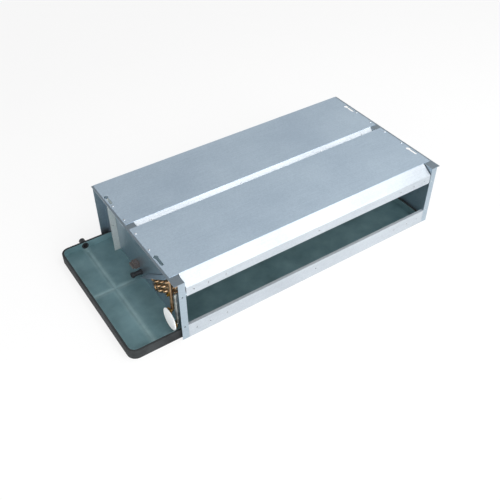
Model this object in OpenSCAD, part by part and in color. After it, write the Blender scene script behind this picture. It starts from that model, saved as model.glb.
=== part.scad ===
// Concealed ducted fan coil unit: sheet steel casing, leaning finned coil over a drain pan that
// reaches out past the left end, and a plenum with two blowers on one motor behind a slide-in filter.
// X runs along the casing, +Y points to the rear (air intake), +Z is up. Millimetres.

/* [Casing] */
// Length between the outer faces of the two side plates
body_l = 988; // [900:1:1400]
// Depth from the front flange to the rear flange
body_d = 568; // [560:1:640]
// Height of the casing
body_h = 240; // [238:1:270]
// Thickness of the galvanised sheet
sheet = 1.2; // [0.8:0.1:1.6]
// Width of the hanging flange along the top of each side plate
hang_flange_w = 34; // [30:1:45]
// Width of the front duct flange on each side plate
post_w = 22; // [20:1:28]
// Width of the rear flange on each side plate
rear_flange_w = 30; // [20:1:32]
// Run of the sloped front edge of the top
bevel_run = 41; // [25:1:45]
// Drop of the sloped front edge of the top
bevel_drop = 26; // [15:1:30]
// Depth of the outlet's top edge below the casing's top
outlet_top = 60; // [50:1:70]
// Height of the outlet's bottom edge above the base
outlet_sill_h = 55; // [48:1:65]
// Distance of the front top panel's rear edge from the front
groove_y = 297; // [292:1:310]
// Width of the groove between the two top panels
groove_w = 27; // [18:1:35]
// Depth of the groove between the two top panels
groove_drop = 16; // [10:1:18]
// Distance of the side stiffeners from the rear
stiffener_back = 90; // [70:1:130]

/* [Holes] */
// Width of a hanging slot's narrow end
slot_w = 10; // [8:0.5:12]
// Radius of a hanging slot's wide end
slot_head_r = 8; // [7:0.5:10]
// Length of a hanging slot, end to end
slot_len = 52; // [44:1:60]
// Distance of the front hanging slots' centres from the front
slot_front_y = 122; // [100:1:150]
// Distance of the rear hanging slots' centres from the rear
slot_rear_back = 100; // [70:1:120]
// Radius of the duct screw holes round the outlet
duct_hole_r = 2.2; // [1.5:0.1:3]
// Radius of the holes in the front flanges
post_hole_r = 2.6; // [2:0.1:3.5]
// Height of the lower hole in a front flange
post_hole_low = 53; // [40:1:70]
// Height of the upper hole in a front flange
post_hole_high = 182; // [150:1:200]

/* [Coil] */
// Clearance between the coil's lowest edge and the pan's floor
coil_clear = 3.25; // [2.5:0.25:5]
// Tube spacing along the coil
tube_pitch = 25; // [24.5:0.1:25.4]
// Tube rows through the coil's depth
tube_rows = 4; // [2:2:4]
// Spacing of the tube rows
row_pitch = 16; // [15.5:0.1:16.5]
// Tubes in one row
tubes_per_row = 10; // [8:2:10]
// Outer radius of the copper tube
tube_r = 4.8; // [4.2:0.1:5]
// Wall of the copper tube
tube_wall = 0.6; // [0.4:0.05:0.8]
// Distance of the coil's upper front corner from the front
coil_front_y = 59; // [56:1:64]
// Depth of the coil's upper front corner below the casing's top
coil_drop = 23; // [20:1:24]
// Spacing of the fins, drawn wider than the real one so that it shows
fin_pitch = 8; // [6:0.5:12]
// Thickness of a drawn fin
fin_t = 2; // [1:0.1:3]
// Depth of the fins' free edges beyond the tube rows
fin_edge = 2.6; // [1.5:0.1:3]
// Depth of the left tube sheet's rim
rim_left = 10.5; // [10:0.5:14]
// Depth of the right tube sheet's rim
rim_right = 29; // [28:0.5:34]

/* [Pipes] */
// Outer radius of the two connecting pipes
pipe_r = 6.35; // [5:0.05:6.4]
// Wall of the connecting pipes
pipe_wall = 0.8; // [0.6:0.1:1.2]
// Bend radius of the connecting pipes
pipe_bend = 9; // [8:0.5:12]
// Distance of the upright pipes outside the left plate's outer face
pipe_out = 16; // [15:0.5:18]
// Height of the supply connection
supply_h = 44; // [40:1:50]
// Height of the return connection
return_h = 77; // [72:1:85]
// Outer radius of a brass connection
socket_r = 12; // [11.5:0.1:13]
// Bore radius of a brass connection
socket_bore_r = 9.3; // [8:0.1:10]
// Length of a brass connection
socket_l = 10; // [9:0.5:18]
// Radius of the white cap over both connections
cap_r = 38; // [36:0.5:39]
// Thickness of the cap
cap_t = 2.5; // [2:0.1:4]

/* [Drain pan] */
// Reach of the pan past the left side plate
pan_reach = 192; // [150:1:240]
// Distance of the pan from the front and the rear of the casing
pan_inset = 12; // [11:0.5:16]
// Height of the pan with its foam
pan_h = 35; // [33:1:42]
// Thickness of the foam under and round the pan
foam_t = 7; // [5:0.5:8]
// Radius of the pan's outer corners
pan_corner_r = 30; // [20:1:45]
// Thickness of the pan's floor
pan_floor_t = 2.4; // [1.8:0.1:2.8]
// Width of the part of the rear tray that lies under the casing
pan_under = 18; // [12:1:24]
// Outer radius of the drain spigot
spigot_r = 10.5; // [9:0.1:11]
// Length of the drain spigot past the pan
spigot_l = 22; // [18:1:40]
// Height of the drain spigot's axis
spigot_h = 22; // [21.5:0.1:23]
// Distance of the drain spigot from the left side plate
spigot_out = 102; // [60:1:150]

/* [Fans] */
// Depth of a blade, inside radius to outside radius
blade_depth = 13; // [10:0.5:16]
// Number of blades on a wheel
blades = 36; // [24:1:44]
// Thickness of a blade
blade_t = 1; // [0.8:0.1:1.4]
// Length of a blower wheel
wheel_l = 190; // [150:1:200]
// Gap between a wheel and its scroll at the cut-off
cutoff_gap = 6; // [5:0.5:8]
// Growth of the scroll from the cut-off to the outlet, as a share of its height
scroll_share = 0.198; // [0.15:0.002:0.2]
// Thickness of the scroll's sheet
scroll_t = 1; // [0.8:0.1:1.2]
// Distance between the two blowers' middles
fan_spacing = 420; // [400:1:440]
// Distance of the blower shaft behind the deck
shaft_back = 116; // [112:1:120]
// Height of the scroll's lowest edge above the casing's base
scroll_foot = 8; // [6:0.5:10]
// Depth of the scroll's highest edge below the casing's top
scroll_head = 20; // [19:0.5:26]
// Radius of the blower shaft
shaft_r = 6; // [5:0.1:8]
// Radius of the motor
motor_r = 46; // [40:1:50]
// Length of the motor
motor_l = 92; // [80:1:100]

/* [Filter] */
// Thickness of the filter frame
filter_t = 7; // [5:0.5:7.5]
// Face width of the filter frame's bars
filter_bar = 12; // [10:1:20]
// Thickness of the nylon mesh
mesh_t = 0.8; // [0.6:0.1:1.2]
// Wall of the filter's guide rails
rail_t = 1; // [0.8:0.1:1.2]
// Height of the guide rails
rail_h = 16; // [12:1:20]

/* [Hidden] */
$fn = 48;

// Clearance between neighbouring sheets and between parts that only lie together
gap = 0.3;
// Radial clearance of the shaft in its bushes and of the vent screw in its seat
running = 0.05;
// Overrun of every cut past the faces it opens
over = 2;
// Clearance round what passes through a plate
pass = 1.5;

// Places of the casing's faces: the whole part's box is centred on X and Y
x_left = -(body_l + hang_flange_w - pan_reach) / 2;
x_right = x_left + body_l;
pan_back = body_d - pan_inset;
total_d = max(body_d, pan_back + spigot_l);
y_front = -total_d / 2;
y_back = y_front + body_d;

// Inner faces of the side plates' webs, with the sheets' clearance
x_in_left = x_left + sheet + gap;
x_in_right = x_right - sheet - gap;

// Deck behind the groove
y_deck = y_front + groove_y + gap;
y_deck_back = y_deck + sheet;
deck_top_drop = groove_drop * 0.75;
ear_inset = 7;
panel_end_gap = 2.5;
lip = 10;
tall_lip = 15;

// Screws along the hanging flanges, as shares of each top panel's depth
front_screw_shares = [0.602, 0.9];
rear_screw_shares = [0.094, 0.43];
rear_panel_y = groove_y + groove_w;
top_screw_ys = [
    for (share = front_screw_shares) share * groove_y,
    for (share = rear_screw_shares) rear_panel_y + share * (body_d - rear_panel_y)
];

// Holes along the outlet strips and in the groove, as shares of the length
duct_hole_shares = [0.03, 0.08, 0.142, 0.5, 0.858, 0.92, 0.97];
groove_screw_shares = [0.055, 0.404, 0.753, 0.945];
strip_hole_top = (outlet_top - bevel_drop) / 2;
strip_hole_low = outlet_sill_h / 2;
screw_r = 1.9;
screw_hole_r = 2.2;
screw_head_r = 3.8;
screw_head_h = 2;
screw_l = 7;
recess_l = 3.6;
recess_w = 0.9;
screw_edge = 14;

// Coil: its own axes run along the slope (s), from the low rear end, and down through it (t). It
// leans so that it just fits between its upper front corner and the pan's floor.
floor_z = foam_t + pan_floor_t;
coil_len = tubes_per_row * tube_pitch;
coil_t = tube_rows * row_pitch;
coil_fall = body_h - coil_drop - floor_z - coil_clear;
coil_tilt = asin(coil_fall / norm([coil_len, coil_t])) - atan2(coil_t, coil_len);
coil_y = y_front + coil_front_y + coil_len * cos(coil_tilt);
coil_z = body_h - coil_drop - coil_len * sin(coil_tilt);
sheet_left_x = x_in_left + rim_left;
sheet_right_x = x_in_right - rim_right;
fins_x0 = sheet_left_x + sheet + gap;
fins_x1 = sheet_right_x - sheet - gap;
fin_count = floor((fins_x1 - fins_x0 - fin_t) / fin_pitch);
fin_lead = (fins_x1 - fins_x0 - fin_count * fin_pitch - fin_t) / 2;
tube_hole_r = tube_r + running;
bend_leg = 2;
hood_w = rim_left + sheet + hang_flange_w;
window_rim = 4;

// Pan outline
pan_x0 = x_left - pan_reach;
pan_x1 = x_in_right - gap;
pan_y0 = y_front + pan_inset;
pan_y1 = y_front + pan_back;
pan_mid_y = y_deck - lip / 2;
pan_wall = foam_t + sheet;
web_foot = floor_z + gap;
groove_half = 8;
pan_groove_deep = pan_floor_t * 0.75;
cross_shift = 26;
spigot_x = x_left - spigot_out;
spigot_bore_r = spigot_r - 2.5 * sheet;
spigot_thread_r = spigot_r * 1.08;
spigot_flange_r = spigot_r * 1.16;
flange_t = 2 * sheet;

// Filter
filter_y = y_back - sheet - gap - rail_t - gap - filter_t;
filter_z0 = sheet + rail_t + 2 * gap;
filter_z1 = body_h - sheet - rail_t - 3 * gap;
filter_x0 = x_in_left + gap;
filter_x1 = x_right;
pull_out = 14;
pull_h = 60;

// Blowers: the scroll fills its height, a third of its growth below the shaft and all of it above,
// and the wheel fills the scroll up to the gap at the cut-off
fan_x = (x_left + x_right) / 2;
scroll_h = body_h - scroll_foot - scroll_head;
scroll_growth = scroll_h * scroll_share;
scroll_r0 = (scroll_h - scroll_growth * 4 / 3) / 2;
wheel_r = scroll_r0 - cutoff_gap;
shaft_y = y_deck_back + shaft_back;
shaft_h = scroll_foot + scroll_r0 + scroll_growth / 3;
shaft_pos = [fan_x, shaft_y, shaft_h];
cutoff_angle = 35;
scroll_step = 10;
housing_w = wheel_l + 2 * cutoff_gap + 2 * scroll_t;
inlet_r = wheel_r - blade_depth;
bell_r = 8;
hub_r = shaft_r * 2.4;
hub_l = shaft_r * 4;
disc_t = 2 * blade_t;
disc_r = wheel_r - blade_depth * 0.42;
ring_w = blade_depth * 0.4;
ring_l = 4;
shaft_reach = fan_spacing / 2 + hub_l;
neck_r = motor_r * 0.42;
neck_l = 16;
rubber_t = 8;
rubber_l = 9;
bush_r = shaft_r + 5;
bush_l = 10;
bracket_t = 2;
bracket_w = motor_r * 2.1;
strap_t = 1.6;
strap_ear = 14;
mount_z = sheet + gap;

// Small electrical parts on the left side plate
gland_y = y_front + 314;
gland_z = 29;
gland_r = 8;
gland_nut_r = 10;
gland_nut_l = 5;
gland_l = 38;
gland_tip_l = 9;
block_y = gland_y + 8;
block_z = 42;
block_size = [26, 26, 20];
cap_box = [48, 26, 36];

// Shapes shared by several pieces

function unit(v) = v / norm(v);
function left_of(v) = [-v[1], v[0]];
function normal_at(p, i) = left_of(unit(p[i + 1] - p[i]));
function mitre(p, i) =
    i == 0 ? normal_at(p, 0)
    : i == len(p) - 1 ? normal_at(p, i - 1)
    : (normal_at(p, i - 1) + normal_at(p, i)) / (1 + normal_at(p, i - 1) * normal_at(p, i));
// Outline of a sheet of thickness t folded along the points p, its body to the left of them
function folded(p, t) = concat(p, [for (i = [len(p) - 1:-1:0]) p[i] + mitre(p, i) * t]);

module block(lo, hi) {
    translate(lo)
        cube(hi - lo);
}

// Extrudes a profile drawn in Y and Z along X
module along_x(x0, x1) {
    translate([x0, 0, 0])
        rotate([90, 0, 90])
            linear_extrude(x1 - x0)
                children();
}

module rod_x(x0, x1, y, z, r) {
    translate([x0, y, z])
        rotate([0, 90, 0])
            cylinder(h = x1 - x0, r = r);
}

module rod_y(x, y0, y1, z, r) {
    translate([x, y1, z])
        rotate([90, 0, 0])
            cylinder(h = y1 - y0, r = r);
}

// Places a side plate's own axes: X outward from its outer face, Y and Z as the unit's
module on_side(side) {
    if (side > 0)
        translate([x_right, 0, 0])
            children();
    else
        translate([x_left, 0, 0])
            mirror([1, 0, 0])
                children();
}

// Places the coil's own axes: Y up the slope from the low rear end, Z down through the rows
module on_coil() {
    translate([0, coil_y, coil_z])
        rotate([180 - coil_tilt, 0, 0])
            children();
}

module keyhole(y_mid) {
    translate([hang_flange_w / 2, y_front + y_mid, body_h - 2 * sheet - over])
        linear_extrude(2 * sheet + 2 * over)
            union() {
                translate([0, slot_len / 2 - slot_head_r])
                    circle(r = slot_head_r);
                translate([0, slot_w / 2 - slot_len / 2])
                    circle(r = slot_w / 2);
                translate([-slot_w / 2, slot_w / 2 - slot_len / 2])
                    square([slot_w, slot_len - slot_w / 2 - slot_head_r]);
            }
}

module keyholes() {
    keyhole(slot_front_y);
    keyhole(body_d - slot_rear_back);
}

module top_screw_holes() {
    for (y = top_screw_ys)
        translate([hang_flange_w - screw_edge, y_front + y, body_h - 2 * sheet - over])
            cylinder(h = 2 * sheet + 2 * over, r = screw_hole_r);
}

// A folded sheet with a hanging flange, a front flange and a rear flange, all turned outward
module side_sheet() {
    y_end = y_front + body_d;
    block([-sheet, y_front, 0], [0, y_end, body_h - sheet]);
    block([-sheet, y_front, body_h - 2 * sheet], [hang_flange_w, y_end, body_h - sheet]);
    block([-sheet, y_front, 0], [post_w, y_front + sheet, body_h - sheet]);
    block([-sheet, y_end - sheet, 0], [rear_flange_w, y_end, body_h - sheet]);
}

module side_holes() {
    keyholes();
    top_screw_holes();
    for (z = [post_hole_low, post_hole_high])
        rod_y(post_w / 2, y_front - over, y_front + sheet + over, z, post_hole_r);
}

module side_plate_left() {
    color("#C9D4DC")
        difference() {
            on_side(-1)
                difference() {
                    side_sheet();
                    side_holes();
                    block([-sheet - over, pan_y0 - gap - sheet, -over],
                          [over, pan_y1 + gap + sheet, web_foot]);
                    block([-sheet - over, pan_y0 - gap - sheet, -over],
                          [over, pan_y0 + pan_wall + gap, pan_h + gap]);
                    block([-sheet - over, pan_y1 - pan_wall - gap, -over],
                          [over, pan_y1 + gap + sheet, pan_h + gap]);
                }
            on_coil()
                block([x_left - over, window_rim, -sheet - gap - pass],
                      [x_left + sheet + over, coil_len - window_rim, coil_t]);
            rod_x(x_left - over, x_left + sheet + over, gland_y, gland_z, gland_r + gap);
        }
}

module side_plate_right() {
    color("#C9D4DC")
        on_side(1)
            difference() {
                side_sheet();
                side_holes();
                block([-sheet - over, filter_y - gap, filter_z0 - gap],
                      [over, filter_y + filter_t + gap, filter_z1 + gap]);
            }
}

// Angle that stiffens a side plate, with a hole for the pan's hanger
module stiffener(side, foot) {
    y = y_back - stiffener_back;
    on_side(side)
        difference() {
            union() {
                block([gap, y, foot], [gap + sheet, y + post_w, body_h - 2 * sheet - gap]);
                block([gap, y, foot], [post_w, y + sheet, body_h - 2 * sheet - gap]);
            }
            rod_y(post_w / 2 + sheet, y - over, y + sheet + over, body_h / 2, post_hole_r);
        }
}

module stiffener_left() {
    color("#A9B2B4") stiffener(-1, web_foot);
}

module stiffener_right() {
    color("#A9B2B4") stiffener(1, 0);
}

// The top sheets lie on the hanging flanges and leave the flanges' outer edges bare
module top_ears(y0, y1) {
    block([x_left - hang_flange_w + ear_inset, y0, body_h - sheet],
          [x_right + hang_flange_w - ear_inset, y1, body_h]);
}

module top_openings() {
    for (side = [-1, 1])
        on_side(side) {
            keyholes();
            top_screw_holes();
        }
}

module duct_holes(z) {
    for (share = duct_hole_shares)
        rod_y(x_left + share * body_l, y_front - over, y_front + sheet + over, z, duct_hole_r);
}

module front_top_panel() {
    path = [
        [y_front + groove_y, body_h - lip],
        [y_front + groove_y, body_h],
        [y_front + bevel_run, body_h],
        [y_front, body_h - bevel_drop],
        [y_front, body_h - outlet_top]
    ];
    color("#B4C1CC")
        difference() {
            union() {
                along_x(x_in_left + panel_end_gap, x_in_right - panel_end_gap)
                    polygon(folded(path, sheet));
                top_ears(y_front + bevel_run, y_front + groove_y);
            }
            top_openings();
            duct_holes(body_h - bevel_drop - strip_hole_top);
        }
}

// Places what sits on the groove's sloped face: X along it, Y up the slope, Z out of the sheet
module on_groove_face() {
    run = groove_w - sheet - 2 * gap;
    translate([0, y_front + groove_y + groove_w, body_h])
        rotate([atan2(groove_drop, run), 0, 0])
            translate([0, -norm([run, groove_drop]) * 0.62, 0])
                children();
}

module rear_top_panel() {
    path = [
        [y_back, body_h - tall_lip],
        [y_back, body_h],
        [y_front + groove_y + groove_w, body_h],
        [y_deck_back + gap, body_h - groove_drop]
    ];
    color("#98A7B4")
        difference() {
            union() {
                along_x(x_in_left, x_in_right)
                    polygon(folded(path, sheet));
                top_ears(y_front + groove_y + groove_w, y_back);
            }
            top_openings();
            for (share = groove_screw_shares)
                on_groove_face()
                    translate([x_left + share * body_l, 0, -sheet - over])
                        cylinder(h = sheet + 2 * over, r = screw_hole_r);
        }
}

module outlet_sill() {
    path = [
        [y_front + lip, outlet_sill_h],
        [y_front, outlet_sill_h],
        [y_front, 0]
    ];
    color("#C9D4DC")
        difference() {
            along_x(x_in_left, x_in_right)
                polygon(folded(path, sheet));
            duct_holes(strip_hole_low);
        }
}

// Wall between the coil and the blowers, cut out for the two blower outlets and the pan's tray
module fan_deck() {
    color("#A9B2B4")
        difference() {
            block([x_in_left, y_deck, 0], [x_in_right, y_deck_back, body_h - deck_top_drop]);
            for (side = [-1, 1])
                translate([fan_x + side * fan_spacing / 2, 0, 0])
                    block([-wheel_l / 2, y_deck - over, scroll_low_z() + scroll_t],
                          [wheel_l / 2, y_deck_back + over, scroll_top_z() - scroll_t]);
            block([x_in_left - over, y_deck - over, -over],
                  [x_left + pan_under + gap, y_deck_back + over, pan_h + gap]);
        }
}

module plenum_bottom_panel() {
    path = [
        [y_deck_back + gap, lip * 2],
        [y_deck_back + gap, 0],
        [y_back, 0],
        [y_back, tall_lip]
    ];
    color("#A9B2B4")
        along_x(x_left + pan_under + gap, x_in_right)
            polygon(folded(path, sheet));
}

module top_insulation() {
    color("#2B2D2F")
        block([x_in_left + gap, y_front + bevel_run, body_h - sheet - gap - foam_t / 2],
              [x_in_right - gap, y_deck - lip, body_h - sheet - gap]);
}

// Strip that closes the way over the coil's upper front corner
module coil_baffle() {
    y = y_front + coil_front_y;
    path = [
        [y + lip, body_h - sheet - 2 * gap - foam_t / 2],
        [y, body_h - sheet - 2 * gap - foam_t / 2],
        [y, body_h - coil_drop + sheet + 2 * gap]
    ];
    color("#A9B2B4")
        along_x(fins_x0, fins_x1)
            polygon(folded(path, sheet));
}

// Coil

function row_t(row) = (row + 0.5) * row_pitch;
function tube_s(i) = (i + 0.5) * tube_pitch;
function coil_point(s, t) = [
    coil_y - s * cos(coil_tilt) - t * sin(coil_tilt),
    coil_z + s * sin(coil_tilt) - t * cos(coil_tilt)
];

// Comb outline of the fin pack: fins on both faces of the core that holds the tubes
function comb_side(level, depth) = [
    for (i = [0:fin_count])
        let (x = fins_x0 + fin_lead + i * fin_pitch)
            each [[x, level + depth], [x, level], [x + fin_t, level], [x + fin_t, level + depth]]
];
function reversed(p) = [for (i = [len(p) - 1:-1:0]) p[i]];

module tube_holes(x0, x1) {
    for (row = [0:tube_rows - 1], i = [0:tubes_per_row - 1])
        rod_x(x0 - over, x1 + over, tube_s(i), row_t(row), tube_hole_r);
}

module coil_fins() {
    color("#C4C9CC")
        on_coil()
            difference() {
                translate([0, coil_len, 0])
                    rotate([90, 0, 0])
                        linear_extrude(coil_len)
                            polygon(concat(comb_side(0, fin_edge), reversed(comb_side(coil_t, -fin_edge))));
                tube_holes(fins_x0, fins_x1);
            }
}

// Tube sheet with a rim turned towards the side plate
module end_plate(x0, x1, rim_x0, rim_x1) {
    difference() {
        union() {
            block([x0, -sheet, -sheet - gap], [x1, coil_len + sheet, coil_t + sheet + gap]);
            block([rim_x0, -sheet, -sheet - gap], [rim_x1, 0, coil_t + sheet + gap]);
            block([rim_x0, coil_len, -sheet - gap], [rim_x1, coil_len + sheet, coil_t + sheet + gap]);
            block([rim_x0, -sheet, coil_t + gap], [rim_x1, coil_len + sheet, coil_t + sheet + gap]);
            block([rim_x0, -sheet, -sheet - gap], [rim_x1, coil_len + sheet, -gap]);
        }
        tube_holes(x0, x1);
    }
}

module coil_end_plate_left() {
    x0 = sheet_left_x;
    color("#A9B2B4")
        on_coil()
            union() {
                end_plate(x0, x0 + sheet, x_in_left, x0 + sheet);
                block([x0 + sheet - hood_w, window_rim + pass, -sheet - gap],
                      [x0 + sheet, coil_len - window_rim - pass, -gap]);
            }
}

// Its rim is cut away over the pan's end wall
module coil_end_plate_right() {
    color("#A9B2B4")
        difference() {
            on_coil()
                end_plate(sheet_right_x - sheet, sheet_right_x, sheet_right_x - sheet, x_in_right);
            block([pan_x1 - pan_wall - gap, pan_y0, -over], [x_in_right + over, y_deck, pan_h + gap]);
        }
}

module tube_ring(r, wall) {
    difference() {
        circle(r = r);
        circle(r = r - wall);
    }
}

// Half turn that opens towards +X, in the plane of X and Y
module half_turn(pitch) {
    rotate([0, 0, 90])
        rotate_extrude(angle = 180)
            translate([pitch / 2, 0])
                tube_ring(tube_r, tube_wall);
}

module leg(x0, x1, y) {
    translate([x0, y, 0])
        rotate([0, 90, 0])
            linear_extrude(x1 - x0)
                tube_ring(tube_r, tube_wall);
}

module coil_tubes() {
    x0 = sheet_left_x;
    x1 = sheet_right_x + bend_leg;
    color("#B87547")
        on_coil()
            for (row = [0:tube_rows - 1], i = [0:2:tubes_per_row - 2])
                translate([0, 0, row_t(row)]) {
                    leg(x0, x1, tube_s(i));
                    leg(x0, x1, tube_s(i + 1));
                    translate([x1, tube_s(i) + tube_pitch / 2, 0])
                        rotate([0, 0, 180])
                            half_turn(tube_pitch);
                }
}

module u_bend(pitch) {
    x1 = sheet_left_x - gap;
    translate([x1 - bend_leg, 0, 0])
        half_turn(pitch);
    leg(x1 - bend_leg, x1, pitch / 2);
    leg(x1 - bend_leg, x1, -pitch / 2);
}

// Bends along each row, and bends from row to row at the ends, so that the coil is one long way
module return_bends() {
    color("#B87547")
        on_coil() {
            for (row = [0:tube_rows - 1], i = [1:2:tubes_per_row - 3])
                translate([0, tube_s(i) + tube_pitch / 2, row_t(row)])
                    u_bend(tube_pitch);
            for (row = [0:2:tube_rows - 2])
                translate([0, tube_s(0), row_t(row) + row_pitch / 2])
                    rotate([90, 0, 0])
                        u_bend(row_pitch);
            for (row = [1:2:tube_rows - 3])
                translate([0, tube_s(tubes_per_row - 1), row_t(row) + row_pitch / 2])
                    rotate([90, 0, 0])
                        u_bend(row_pitch);
        }
}

// Pipes: a run starts along +X and takes one bend after each leg, turned about the run by its angle

module elbow(r) {
    translate([0, pipe_bend, 0])
        rotate([0, 0, -90])
            rotate_extrude(angle = 90)
                translate([pipe_bend, 0])
                    circle(r = r);
}

module run(legs, r, i = 0) {
    rotate([0, 90, 0])
        cylinder(h = legs[i][0], r = r);
    if (i < len(legs) - 1)
        translate([legs[i][0], 0, 0])
            rotate([legs[i][1], 0, 0]) {
                elbow(r);
                translate([pipe_bend, pipe_bend, 0])
                    rotate([0, 0, 90])
                        run(legs, r, i + 1);
            }
}

supply_yz = coil_point(tube_s(tubes_per_row - 1), row_t(tube_rows - 1));
return_yz = coil_point(tube_s(tubes_per_row - 1), row_t(0));
pipe_x = x_left - pipe_out;
pipe_start_x = sheet_left_x - gap;
socket_in = 3;
socket_x1 = pipe_x - pipe_bend;
socket_x0 = socket_x1 - socket_l;

// Out of the tube sheet, down, and out again to the connection at height h
module connecting_pipe(yz, h) {
    legs = [
        [pipe_start_x - pipe_x - pipe_bend, -90],
        [yz[1] - h - 2 * pipe_bend, 180],
        [socket_in, 0]
    ];
    translate([pipe_start_x, yz[0], yz[1]])
        rotate([0, 0, 180])
            difference() {
                run(legs, pipe_r);
                run(legs, pipe_r - pipe_wall);
            }
}

vent_z = (return_h + return_yz[1]) / 2 + pipe_bend;
vent_r = 5;
vent_l = 9;
vent_screw_r = 2.4;

module supply_pipe() {
    color("#9AA0A0") connecting_pipe(supply_yz, supply_h);
}

module return_pipe() {
    color("#C0805A") connecting_pipe(return_yz, return_h);
}

module socket(y, z) {
    difference() {
        union() {
            rod_x(socket_x0, socket_x1, y, z, socket_r);
            translate([socket_x1 - socket_l / 2, y, z])
                rotate([0, 90, 0])
                    cylinder(h = socket_l / 3, r = socket_r * 1.12, $fn = 6);
        }
        rod_x(socket_x0 - over, socket_x1 - socket_in - gap, y, z, socket_bore_r);
        rod_x(socket_x0 - over, socket_x1 + over, y, z, pipe_r + running);
    }
}

module supply_socket() {
    color("#B8923C") socket(supply_yz[0], supply_h);
}

module return_socket() {
    color("#B8923C") socket(return_yz[0], return_h);
}

// Push-on transit cap: one disc with a skirt round each brass connection
module connection_cap() {
    centre = [(supply_yz[0] + return_yz[0]) / 2, (supply_h + return_h) / 2];
    face_x = socket_x0 - gap;
    skirt = socket_l / 4;
    color("#F2F0EA")
        union() {
            rod_x(face_x - cap_t, face_x, centre[0], centre[1], cap_r);
            for (p = [[supply_yz[0], supply_h], [return_yz[0], return_h]])
                difference() {
                    rod_x(face_x, face_x + skirt, p[0], p[1], socket_r + gap + sheet);
                    rod_x(face_x, face_x + skirt + over, p[0], p[1], socket_r + gap);
                }
        }
}

module vent_valve() {
    x0 = pipe_x - pipe_r - gap - vent_l;
    color("#B8923C")
        difference() {
            union() {
                rod_x(x0, x0 + vent_l, return_yz[0], vent_z, vent_r);
                translate([x0 + vent_l - sheet * 2, return_yz[0], vent_z])
                    rotate([0, 90, 0])
                        cylinder(h = sheet * 2, r = vent_r * 1.4, $fn = 6);
            }
            rod_x(x0 - over, x0 + vent_l / 2, return_yz[0], vent_z, vent_screw_r + running);
        }
}

// Slotted bleed screw in the vent's mouth
module vent_screw() {
    x0 = pipe_x - pipe_r - gap - vent_l;
    slot_t = sheet;
    color("#8E979B")
        difference() {
            union() {
                rod_x(x0 - gap, x0 + vent_l / 2 - gap, return_yz[0], vent_z, vent_screw_r);
                rod_x(x0 - gap - vent_screw_r, x0 - gap, return_yz[0], vent_z, vent_r * 0.9);
            }
            block([x0 - gap - vent_screw_r - over, return_yz[0] - vent_r - over, vent_z - slot_t / 2],
                  [x0 - gap - vent_screw_r / 2, return_yz[0] + vent_r + over, vent_z + slot_t / 2]);
        }
}

// Drain pan

// Outline of the pan from above, taken in by an inset: a rounded tray and a trough under the coil
module pan_outline(inset) {
    r = pan_corner_r - inset;
    x0 = pan_x0 + inset;
    x1 = x_left + pan_under - inset;
    y0 = pan_y0 + inset;
    y1 = pan_y1 - inset;
    union() {
        translate([x0 + r, y0 + r])
            circle(r = r);
        translate([x0 + r, y1 - r])
            circle(r = r);
        translate([x0, y0 + r])
            square([x1 - x0, y1 - y0 - 2 * r]);
        translate([x0 + r, y0])
            square([x1 - x0 - r, y1 - y0]);
        translate([x0 + r, y0])
            square([pan_x1 - inset - x0 - r, pan_mid_y - inset - y0]);
    }
}

module spigot_hole(r) {
    rod_y(spigot_x, pan_y1 - pan_wall - over, pan_y1 + over, spigot_h, r);
}

module drain_pan() {
    cross_y = (pan_y0 + pan_y1) / 2 + cross_shift;
    color("#6A8488")
        difference() {
            translate([0, 0, foam_t + gap])
                linear_extrude(pan_h - foam_t - gap)
                    pan_outline(foam_t + gap);
            translate([0, 0, floor_z])
                linear_extrude(pan_h)
                    pan_outline(pan_wall);
            translate([spigot_x, pan_y0 + pan_corner_r, floor_z])
                rotate([-90, 0, 0])
                    linear_extrude(pan_y1 - pan_y0 - 2 * pan_corner_r)
                        polygon([[-groove_half, 0], [groove_half, 0], [0, pan_groove_deep]]);
            translate([pan_x0 + pan_wall + gap, cross_y, floor_z])
                rotate([0, 90, 0])
                    linear_extrude(pan_reach - pan_wall - pan_under)
                        polygon([[0, -groove_half], [0, groove_half], [pan_groove_deep, 0]]);
            spigot_hole(spigot_thread_r + gap);
        }
}

module pan_insulation() {
    color("#26282A")
        difference() {
            linear_extrude(pan_h)
                pan_outline(0);
            translate([0, 0, foam_t])
                linear_extrude(pan_h)
                    pan_outline(foam_t);
            spigot_hole(spigot_thread_r + gap);
        }
}

// Drain spigot, flanged inside the pan, with a thread for its nut and a plain end for the hose
module drain_spigot() {
    y_in = pan_y1 - pan_wall - gap;
    thread_end = pan_y1 + gap + 2 * flange_t + sheet;
    color("#3A3D3F")
        difference() {
            union() {
                rod_y(spigot_x, y_in - flange_t, pan_y1 + spigot_l, spigot_h, spigot_r);
                rod_y(spigot_x, y_in - flange_t, thread_end, spigot_h, spigot_thread_r);
                rod_y(spigot_x, y_in - flange_t, y_in, spigot_h, spigot_flange_r);
            }
            rod_y(spigot_x, y_in - flange_t - over, pan_y1 + spigot_l + over, spigot_h, spigot_bore_r);
        }
}

module spigot_nut() {
    y0 = pan_y1 + gap;
    color("#2A2C2E")
        difference() {
            translate([spigot_x, y0 + 2 * flange_t, spigot_h])
                rotate([90, 30, 0])
                    cylinder(h = 2 * flange_t, r = spigot_flange_r * 1.2, $fn = 6);
            rod_y(spigot_x, y0 - over, y0 + 2 * flange_t + over, spigot_h, spigot_thread_r + running);
        }
}

// Blowers: profiles are drawn in Y and Z round the shaft

function scroll_r(a) = scroll_r0 + scroll_growth * max(a, 0) / 270;
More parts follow.
